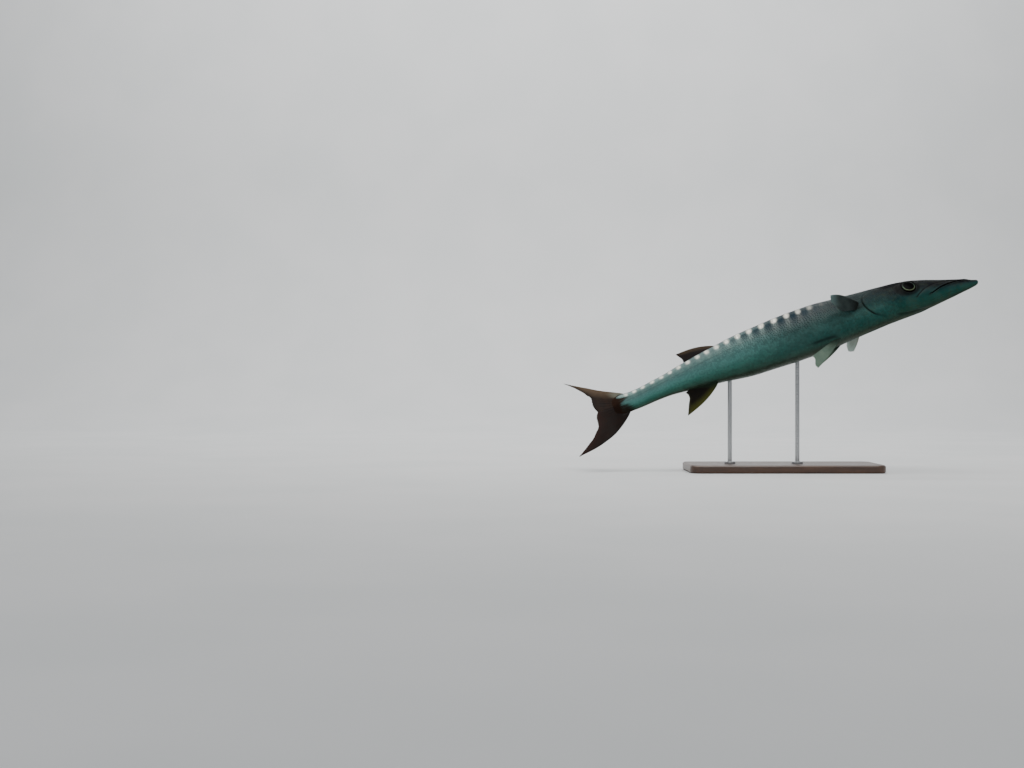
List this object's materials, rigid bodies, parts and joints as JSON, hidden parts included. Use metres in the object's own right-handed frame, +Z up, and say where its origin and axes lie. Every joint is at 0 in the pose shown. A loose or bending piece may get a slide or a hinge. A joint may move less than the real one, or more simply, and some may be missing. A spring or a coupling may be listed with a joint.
{
  "type": "barracuda",
  "caption": "Life-size still model of a barred silver barracuda, banked and nose up as if swimming, on a plain flat base with short steel rods.",
  "frame": {"origin": "middle of the stand base's underside", "axes": "+X towards the fish's nose, along the base; +Z up; the fish's right side faces -Y"},
  "size_m": [0.9529, 0.1836, 0.4418],
  "materials": {
    "skin": "silver grey scaled skin with dark bars on the upper flank, satin",
    "dark_fin": "brown-black rayed fin membrane, satin",
    "pale_fin": "cream and brown rayed fin membrane, slightly see-through",
    "eye": "black pupil in a pale silver ring, wet gloss",
    "stand_wood": "dark stained wood, satin varnish",
    "stand_steel": "brushed stainless rod"
  },
  "bodies": {
    "root": {"head": "skin", "lower_jaw": "skin", "gill_cover_left": "skin", "gill_cover_right": "skin", "torso_front": "skin", "torso_rear": "skin", "tail_front": "skin", "tail_stalk": "skin", "first_dorsal_fin": "dark_fin", "second_dorsal_fin": "dark_fin", "anal_fin": "dark_fin", "tail_fin_upper": "dark_fin", "tail_fin_lower": "dark_fin", "pectoral_fin_left": "pale_fin", "pectoral_fin_right": "pale_fin", "pelvic_fin_left": "pale_fin", "pelvic_fin_right": "pale_fin", "eye_left": "eye", "eye_right": "eye", "stand_base": "stand_wood", "stand_rod_front": "stand_steel", "stand_rod_rear": "stand_steel"}
  },
  "joints": []
}
